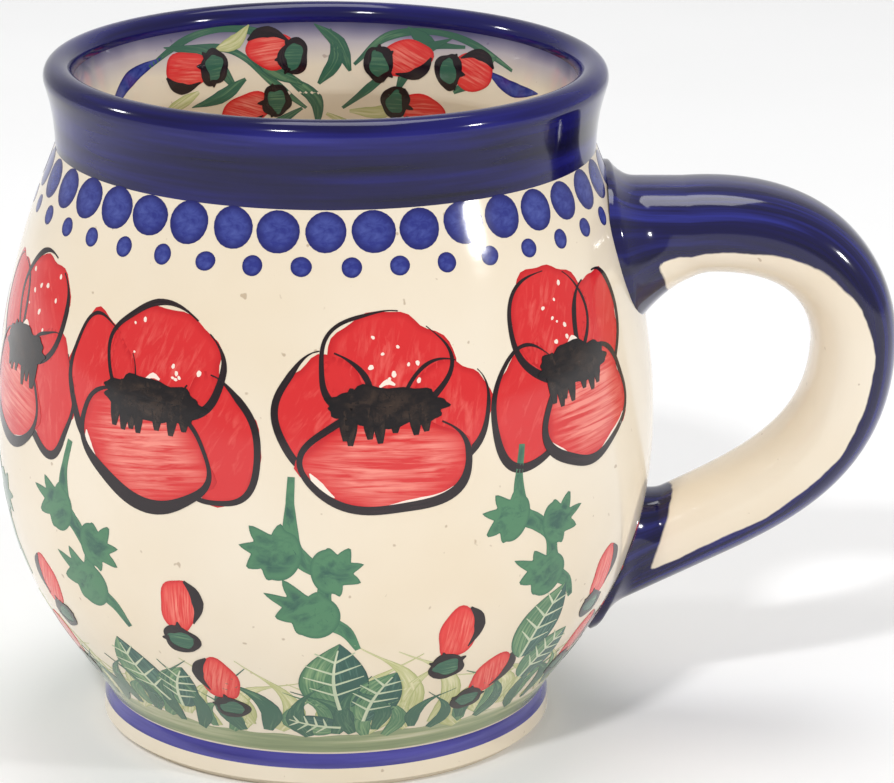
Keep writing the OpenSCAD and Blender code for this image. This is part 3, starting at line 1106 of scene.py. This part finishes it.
def draw_petal(spot, petal, chance, layer, thick, mirror, paint, brush_turn):
    x, y, half_width, half_height, tilt = petal
    x, tilt = x * mirror, tilt * mirror
    edge = rounded((x, y), half_width, half_height, tilt, chance, 0.04)
    a = np.linspace(0, 2 * math.pi, len(edge), endpoint=False)
    spill = 1 + 0.05 * np.sin(4 * a + chance.uniform(0, 6))
    spill += 0.03 * np.sin(9 * a + chance.uniform(0, 6))
    middle = edge.mean(0)
    fill = middle + (edge - middle) * spill[:, None] + chance.uniform(-0.5, 0.5, 2)
    paint.blot(spot, fill, layer, brush_turn=brush_turn)
    slip = chance.uniform(-0.25, 0.25, 2)
    draw_outline(spot, edge, chance, layer + 1, thick, slip, chance.uniform(60, 130))
    return edge


def lumpy(left, right, low, high, chance, mirror):
    """The outline of a ragged patch, with soft lumps along its top."""
    count = 64
    a = np.linspace(0, 2 * math.pi, count, endpoint=False)
    lumps = 1 + 0.10 * np.sin(7 * a + chance.uniform(0, 6))
    lumps += 0.07 * np.sin(13 * a + chance.uniform(0, 6))
    x = (right - left) / 2 * np.sign(np.cos(a)) * np.abs(np.cos(a)) ** 0.8 * (1 + (lumps - 1) * 0.5)
    y = (high - low) / 2 * np.sin(a) * lumps * (1 - 0.2 * np.cos(a) ** 2)
    middle = np.array([(left + right) / 2, (low + high) / 2])
    return np.c_[x, y - 0.05 * mirror * x] + middle


def draw_heart(spot, across, chance, layer, mirror):
    """A ragged black patch with rounded drips below and a bare glint on its upper edge."""
    left, right, low, high = across
    if mirror < 0:
        left, right = -right, -left
    hearts.blot(spot, lumpy(left, right, low, high, chance, mirror), layer)
    half = (high - low) / 2
    places = np.array([0.13, 0.22, 0.32, 0.40, 0.58, 0.70, 0.80]) + chance.uniform(-0.03, 0.03, 7)
    falls = np.array([2.4, 3.0, 2.2, 2.9, 1.4, 2.2, 1.2]) * chance.uniform(0.8, 1.15, 7)
    for share, fall in zip(places, falls):
        share = share if mirror > 0 else 1 - share
        top = np.array([left + (right - left) * share, low + half])
        foot = top + (chance.uniform(-0.3, 0.3), -half - fall * 0.75)
        hearts.stroke(spot, [top, (top + foot) / 2, foot], [1.9, 1.8, 1.5, 0.7], layer, 0.7)
    for share in (0.2, 0.47, 0.56, 0.8):
        base = np.array([left + (right - left) * share, high - half * 0.8])
        tip = base + (chance.uniform(-0.5, 0.5), chance.uniform(1.5, 2.2))
        hearts.stroke(spot, [base, tip], [2.2, 1.5, 0.5], layer, 0.7)
    glint = np.array([left + (right - left) * 0.5, high + 0.1])
    arch = [glint - (1.1, 0.2), glint + (0, 0.45), glint + (1.1, 0)]
    bare_spots.stroke(spot, arch, [0.3, 0.8, 0.3], layer - 1, 0.5)


def leave_specks(spot, petal, chance, layer, mirror):
    """Specks inside a petal that the red missed."""
    x, y, half_width, half_height, _ = petal
    for _ in range(9):
        across = chance.uniform(-0.6, 0.6) * half_width
        place = np.array([x * mirror + across, y + chance.uniform(-0.4, 0.7) * half_height])
        size = chance.uniform(0.14, 0.38)
        speck = rounded(place, size * 1.3, size, chance.uniform(0, 180), chance, 0.08, 12)
        bare_spots.blot(spot, speck, layer, rings=(0.6, 1.0))


def leave_sliver(spot, edge, layer, start_share, length):
    """A bare sliver just inside a petal's edge, where the fill stops short of its line."""
    n = len(edge)
    first = int(start_share * n)
    middle = edge.mean(0)
    arc = np.array([edge[(first + k) % n] for k in range(length)])
    arc = middle + (arc - middle) * 0.93
    bare_spots.stroke(spot, arc, [0.15, 0.9, 1.1, 0.7, 0.15], layer, 0.8)


def draw_poppy(theta, height, flower, mirror, seed):
    spot = Spot(theta, height)
    chance = np.random.default_rng(seed)
    *back, front = flower["petals"]
    for petal in back:
        draw_petal(spot, petal, chance, 1, 1.5, mirror, petals, chance.uniform(0.9, 1.4) * mirror)
    leave_specks(spot, back[2], chance, 1.8, mirror)
    brush_turn = chance.uniform(-0.06, 0.14) * mirror
    edge = draw_petal(spot, front, chance, 3, 2.9, mirror, front_petals, brush_turn)
    leave_sliver(spot, edge, 3.6, 0.76, 8)
    leave_sliver(spot, edge, 3.6, 0.56, 5)
    draw_heart(spot, flower["heart"], chance, 5, mirror)


POPPIES = [
    {"petals": [(-8.2, -0.6, 6.9, 8.2, 6), (8.8, -0.8, 6.4, 7.2, -14), (0.2, 6.2, 9.0, 7.6, 2),
                (0.2, -7.2, 11.3, 7.2, -3)],
     "heart": (-8.2, 8.6, -2.4, 3.2)},
    {"petals": [(-8.8, 1.2, 6.4, 8.6, 10), (9.8, -5.0, 6.4, 8.8, 10), (1.6, 5.6, 9.8, 7.4, -8),
                (-0.8, -7.2, 11.0, 7.2, -16)],
     "heart": (-7.8, 8.4, -3.0, 2.8)},
    {"petals": [(7.4, 4.6, 5.8, 7.6, -8), (-8.6, -3.8, 6.4, 8.4, -8), (-3.0, 6.8, 7.8, 7.8, 24),
                (3.0, -6.4, 9.2, 8.0, 8)],
     "heart": (-6.8, 7.8, -2.8, 3.2)},
]
# angle round the pot, height, which flower, and 1 as drawn or -1 mirrored. The handle has the gap.
PLACES = [(-156, 62, 2, -1), (-121, 61.2, 1, 1), (-80, 61.6, 0, 1), (-42.5, 63.4, 2, 1),
          (38, 61.5, 0, -1), (78, 62, 2, -1), (120, 60.8, 1, 1), (162, 62, 0, 1)]
for number, (theta, height, kind, mirror) in enumerate(PLACES):
    draw_poppy(theta, height, POPPIES[kind], mirror, 100 + number)
print(len(PLACES), "poppies drawn")

# %% [markdown]
# ## Stems and toothed leaves
# Each flower stands on a bent stem. Its leaves are pressed out of a loaded brush and then flicked
# into points, so a leaf is a rounded blot whose outer edge has teeth and whose inner edge,
# where it meets the stem, is smooth.

# %% Draw the stems
def draw_toothed_leaf(spot, base, tip, width, teeth, chance, layer):
    """A leaf from its base to its tip, toothed round its outer end."""
    base, tip = np.asarray(base, float), np.asarray(tip, float)
    forward = tip - base
    length = np.linalg.norm(forward)
    forward /= length
    left = np.array([-forward[1], forward[0]])
    a = np.linspace(-math.pi, math.pi, 14 * teeth + 1)[:-1]
    outer = np.clip((1.8 - np.abs(a)) / 0.4, 0, 1)
    phase = (a / 4.2 + 0.5) * teeth
    saw = (phase % 1.0)
    tooth = np.where(saw < 0.62, (saw / 0.62) ** 1.6, (1 - saw) / 0.38)
    uneven = 0.7 + 0.6 * chance.random(teeth + 1)[np.minimum(phase.astype(int), teeth)]
    size = 1 + outer * (0.62 * tooth * uneven - 0.18)
    along_it = length * 0.5 * (1 + np.cos(a)) * (0.82 + 0.18 * size)
    across_it = width / 2 * np.sin(a) * size * (1 - 0.25 * np.cos(a))
    along_it = np.where(np.cos(a) > 0, length * 0.5 + length * 0.5 * np.cos(a) * size, along_it)
    outline = base + along_it[:, None] * forward + across_it[:, None] * left
    stems.blot(spot, outline, layer, brush_turn=-math.atan2(forward[1], forward[0]))


# places are (angle round the pot, height in millimetres)
STEMS = [
    [(-95.7, 52.5), (-95.9, 48), (-95.6, 42.6), (-93.6, 40.2), (-90.4, 38.2), (-90.4, 34.6),
     (-90.2, 31.4), (-86.6, 29.2), (-84.4, 26.2)],
    [(-55.8, 54.5), (-56.6, 49), (-55.6, 44.4), (-52.6, 42.6), (-49.4, 40.2), (-48.4, 36.6),
     (-46.6, 33.6), (-43.4, 31.6), (-41.2, 28.8)],
    [(-137.9, 52.6), (-139.6, 47), (-139.2, 42.4), (-136.4, 39.8), (-134.2, 36.8), (-134.6, 33.8),
     (-132.6, 30.8), (-129.8, 29), (-127.6, 26.2)],
]
# for each stem, its leaves: base, tip and width
LEAVES = [
    [((-94.2, 40.2), (-103.2, 42.4), 7.4), ((-92.6, 38.4), (-84.8, 39.4), 6.6),
     ((-88.2, 30.0), (-98.2, 34.6), 7.0)],
    [((-54.6, 43.2), (-62.0, 45.4), 6.8), ((-51.2, 41.2), (-44.0, 42.6), 6.4),
     ((-45.6, 32.2), (-54.4, 36.6), 6.6)],
    [((-138.0, 40.8), (-146.2, 43.6), 6.8), ((-136.0, 38.0), (-128.4, 38.2), 6.4),
     ((-131.6, 29.8), (-141.0, 34.4), 6.8)],
]
# which stem, and how far it is turned round the pot
STEM_PLACES = [(0, 0), (1, 0), (2, 0), (2, 326), (0, 216), (1, 134), (0, 134), (2, 241)]


def draw_stem(stem, leaves, turned, seed):
    theta, height = stem[3]
    chance = np.random.default_rng(seed)
    spot = Spot(theta + turned, height)
    path = [spot.near(t + turned, h) for t, h in stem]
    stems.stroke(spot, path, [1.0, 1.2, 2.3, 2.6, 2.2, 2.0, 2.6, 1.9, 0.9], 2, 0.7)
    for base, tip, width in leaves:
        ends = [spot.near(t + turned, h) for t, h in (base, tip)]
        draw_toothed_leaf(spot, ends[0], ends[1], width, 5, chance, 2)


for number, (kind, turned) in enumerate(STEM_PLACES):
    draw_stem(STEMS[kind], LEAVES[kind], turned, 200 + number)
print(stems.marks, "strokes of green so far")

# %% [markdown]
# ## Buds and veined leaves
# Between the stems stand red buds. Each has one dark comma down a side and a seed cap under
# it: a black ring with a green dab. Low in the grass lie leaves in two greens, with veins
# scratched back to the cream.

# %% Draw the buds
buds = Paint("bud_petals", BUD_RED)
caps = Paint("bud_caps", DARK_GREEN)
cap_lines = Paint("bud_lines", BLACK)


def draw_bud(paints, spot, cap, size, chance, comma_side, cap_size):
    """A bud at its spot, with its cap at a place in the spot's millimetres."""
    red, green, black = paints
    lean = math.degrees(math.atan2(-cap[1], -cap[0])) - 90
    outline = rounded((0, 0), size * 0.7, size, lean, chance, 0.05, 36)
    red.blot(spot, outline, 3, brush_turn=math.radians(-lean) + 1.4)
    c, s = math.cos(math.radians(lean)), math.sin(math.radians(lean))

    def placed(x, y):
        return np.array([x * c - y * s, x * s + y * c]) * size

    side = 0.62 * comma_side
    comma = [placed(side * x, y) for x, y in ((0.25, 0.98), (0.85, 0.62), (1.08, 0.05), (0.8, -0.55))]
    black.stroke(spot, comma, [0.3, 1.5, 1.8, 1.0, 0.2], 4, 0.6)
    oval_cap = rounded(cap, cap_size * 1.15, cap_size * 0.88, lean, chance, 0.06, 26)
    green.blot(spot, oval_cap, 4)
    black.stroke(spot, oval_cap, [1.1, 0.5, 1.5, 0.4, 1.2, 0.6], 5, 0.7, closed=True)
    for turn_by in (-70, 10, 80):
        way = math.radians(lean + 90 + turn_by + chance.uniform(-20, 20))
        out = np.array([math.cos(way), math.sin(way)]) * cap_size
        black.stroke(spot, [cap + out * 0.9, cap + out * 1.45], [1.1, 0.8, 0.2], 5, 0.5)


# the bud's place, its cap's place, its size and the side of its dark comma
BUDS = [
    ((-66, 27.3), (-67.1, 20.6), 4.5, 1), ((-55.7, 18.3), (-59.4, 13.4), 4.3, 1),
    ((-115.9, 31.6), (-116.8, 25.0), 4.4, 1), ((-111.1, 19.4), (-110.0, 13.2), 4.4, -1),
    ((-150, 28.4), (-148, 22.6), 4.2, -1), ((-30.7, 30), (-31.6, 24), 4.2, 1),
    ((-28, 18.6), (-30.6, 13.6), 4.2, 1), ((-156, 18), (-154, 12.6), 4.0, -1),
]


def draw_bud_places():
    chance = np.random.default_rng(300)
    for turned in (0, 138):
        for (theta, height), (cap_theta, cap_height), size, comma in BUDS:
            if turned and theta > -36:
                continue
            spot = Spot(theta + turned, height)
            cap = spot.near(cap_theta + turned, cap_height) * 0.86
            draw_bud((buds, caps, cap_lines), spot, cap, size, chance, comma, size * 0.5)


draw_bud_places()
TEAL = mix_paint("leaf_teal", colour(96, 140, 120), colour(46, 88, 78), colour(32, 68, 62),
                 pale=(0.5, 0.7))
light_halves = Paint("leaf_light_halves", MID_GREEN)
dark_halves = Paint("leaf_dark_halves", TEAL)
veins = Paint("leaf_veins", VEIN)


def draw_veined_leaf(base, tip, width, turned=0):
    """A pointed leaf in two greens, with a midrib and side veins."""
    spot = Spot(base[0] + turned, base[1])
    end = spot.near(tip[0] + turned, tip[1])
    length = np.linalg.norm(end)
    forward = end / length
    left = np.array([-forward[1], forward[0]])
    t = np.linspace(0, 1, 13)
    bow = np.sin(np.pi * t) * length * 0.06
    spine = t[:, None] * end + left * bow[:, None]
    bulge = width / 2 * np.sin(np.pi * t**0.8) ** 0.9
    for side, half in ((1, light_halves), (-1, dark_halves)):
        middle = spine + left * (side * bulge / 2)[:, None]
        half.stroke(spot, middle, np.maximum(bulge * 1.04, 0.12), 2.5, 0.8, across=4)
    veins.stroke(spot, spine[:-1], [0.55, 0.45, 0.2], 4, 0.9)
    for k in (3, 5, 7, 9):
        for side in (1, -1):
            out = spine[k] + left * side * bulge[k] * 0.86 + forward * width * 0.2
            veins.stroke(spot, [spine[k], out], [0.4, 0.3, 0.12], 4, 0.9)


VEINED = [
    ((-87.2, 14.8), (-87.7, 27.2), 9.0), ((-82.0, 12.2), (-76.8, 21.6), 7.4),
    ((-86.8, 11.0), (-99.0, 12.9), 5.0), ((-49.4, 19.9), (-43.6, 31.3), 8.0),
    ((-45.6, 15.4), (-38.0, 22.6), 7.0), ((-126, 13.0), (-132.4, 23.4), 7.6),
    ((-123, 12.4), (-118.6, 20.6), 6.4),
]
for turned in (0, 138, 222):
    for base, tip, width in VEINED:
        if not (turned and abs((base[0] + turned + 180) % 360 - 180) < 24):
            draw_veined_leaf(base, tip, width, turned)
print("veined leaves:", veins.marks, "scratched lines")

# %% [markdown]
# ## The spray inside the lip
# The painter carries a small spray of buds over the lip on the two sides, where the drinker sees
# it. The same marks are used, smaller, on the inside stretch of the potter's line.

# %% Draw the sprays inside
inner_buds = Paint("inner_bud_petals", BUD_RED)
inner_caps = Paint("inner_bud_caps", DARK_GREEN)
inner_lines = Paint("inner_bud_lines", BLACK)
inner_green = Paint("inner_leaves", DARK_GREEN)
inner_soft = Paint("inner_grass", OLIVE)
inner_blue = Paint("inner_blue_strokes", DOT_BLUE)
inner_paints = (inner_buds, inner_caps, inner_lines)

INNER_BUDS = [((127, 91.5), (117.5, 91.4)), ((103.7, 93.2), (97, 92)), ((110, 84.4), (101, 85.6)),
              ((69.6, 92.4), (78.4, 91)), ((50.8, 91.6), (59.5, 91)), ((65.6, 84.5), (74, 85.6))]
INNER_LEAVES = [((110.8, 89.2), (125.8, 85.7)), ((84.3, 83.5), (69.5, 86.5)), ((96, 88), (109, 96.5)),
                ((92, 88), (89, 96.3)), ((113, 87.4), (133, 95.4)), ((72, 87), (58, 96)), ((96, 84), (122, 80)),
                ((90, 83), (62, 79.6)), ((118, 94), (109, 97.2)), ((62, 94.6), (70, 97)), ((100, 89), (92, 80.4)),
                ((84, 90), (93, 97)), ((56, 88), (44, 94.6)), ((124, 88), (139, 84))]
INNER_STEMS = [[(127, 95), (114, 93.6), (104, 88.6), (95, 84)], [(54, 95), (66, 94), (77, 88.6), (86, 84)],
               [(139, 93), (122, 96.6), (107, 96), (97, 91)], [(38, 93), (58, 96.4), (74, 95.6), (83, 91)]]
INNER_STROKES = [[(158, 88), (147, 92), (134, 94)], [(46, 92), (37, 90.4), (26, 91)]]


def draw_inner_spray(turned, seed):
    chance = np.random.default_rng(seed)
    spot = Spot(90 + turned, 90, inside=True)

    def at(place):
        return spot.near(place[0] + turned, place[1])

    for middle, cap in INNER_BUDS:
        here = Spot(middle[0] + turned, middle[1], inside=True)
        draw_bud(inner_paints, here, here.near(cap[0] + turned, cap[1]) * 0.82, 4.1, chance,
                 chance.choice([-1, 1]), 2.1)
    for path in INNER_STEMS:
        inner_green.stroke(spot, [at(p) for p in path], [0.5, 1.2, 0.9, 1.4, 0.5], 1, 0.8)
    for base, tip in INNER_LEAVES:
        a, b = at(base), at(tip)
        bow = np.array([-(b[1] - a[1]), b[0] - a[0]]) * chance.uniform(-0.22, 0.22)
        paint = inner_green if chance.random() < 0.65 else inner_soft
        paint.stroke(spot, [a, (a + b) / 2 + bow, b], [0.5, 1.9, 2.3, 1.4, 0.15], 2, 0.9, across=4)
    for path in INNER_STROKES:
        inner_blue.stroke(spot, [at(p) for p in path], [0.4, 1.9, 2.4, 1.5, 0.2], 1)


draw_inner_spray(0, 401)
draw_inner_spray(180, 402)
for paint in (petals, front_petals, outlines, hearts, bare_spots, stems, light_halves, dark_halves,
              veins, buds, caps, cap_lines, *inner_paints, inner_green, inner_soft, inner_blue):
    paint.lay_on()


# %% [markdown]
# ## Floor and light
# A pale floor that runs out of sight, a white surround, and soft boxes for the small highlights
# that glazed ware always shows.

# %% Set the floor and the lamps
def build_floor():
    half, curve_r, height, steps = 1.6, 0.5, 1.4, 16
    profile = [(-half, 0.0)]
    for i in range(steps + 1):
        turn_angle = math.pi / 2 * i / steps
        across, up = math.sin(turn_angle), 1 - math.cos(turn_angle)
        profile.append((half - curve_r + curve_r * across, curve_r * up))
    profile.append((half, height))
    points = [(x, y, z) for x in (-3.0, 3.0) for y, z in profile]
    n = len(profile)
    faces = [(i, i + n, i + n + 1, i + 1) for i in range(n - 1)]
    floor = smooth(piece("floor", points, faces))
    finish = Finish("floor_paper", 0.9)
    paper = [(0.3, (0.93, 0.93, 0.93, 1)), (0.7, (0.95, 0.95, 0.95, 1))]
    tone = finish.ramp(finish.noise(finish.place, 9.0, 2.0), paper)
    floor.data.materials.append(finish.finish(tone, 0.02, 300.0))
    return floor


def lamp(name, place, target, size, power):
    data = bpy.data.lights.new(name, "AREA")
    data.shape = "RECTANGLE"
    data.size, data.size_y = size
    data.energy = power
    obj = bpy.data.objects.new(name, data)
    scene.collection.objects.link(obj)
    obj.location = place
    aim = target - obj.location
    obj.rotation_euler = aim.to_track_quat("-Z", "Y").to_euler()
    return obj


build_floor()
middle = Vector((0.01, 0, 0.05))
lamp("key", (-0.3, -0.8, 0.85), middle, (0.1, 0.08), 4.8)
lamp("fill", (0.95, -0.5, 0.5), middle, (0.09, 0.09), 3.2)
lamp("top", (0.1, 0.25, 1.2), middle, (0.6, 0.6), 4.6)
lamp("left", (-1.1, 0.1, 0.6), middle, (0.12, 0.12), 2.6)
world = bpy.data.worlds.new("studio")
scene.world = world
world.use_nodes = True
world.node_tree.nodes["Background"].inputs["Color"].default_value = (1, 1, 1, 1)
world.node_tree.nodes["Background"].inputs["Strength"].default_value = 0.47
scene.view_settings.view_transform = "Standard"
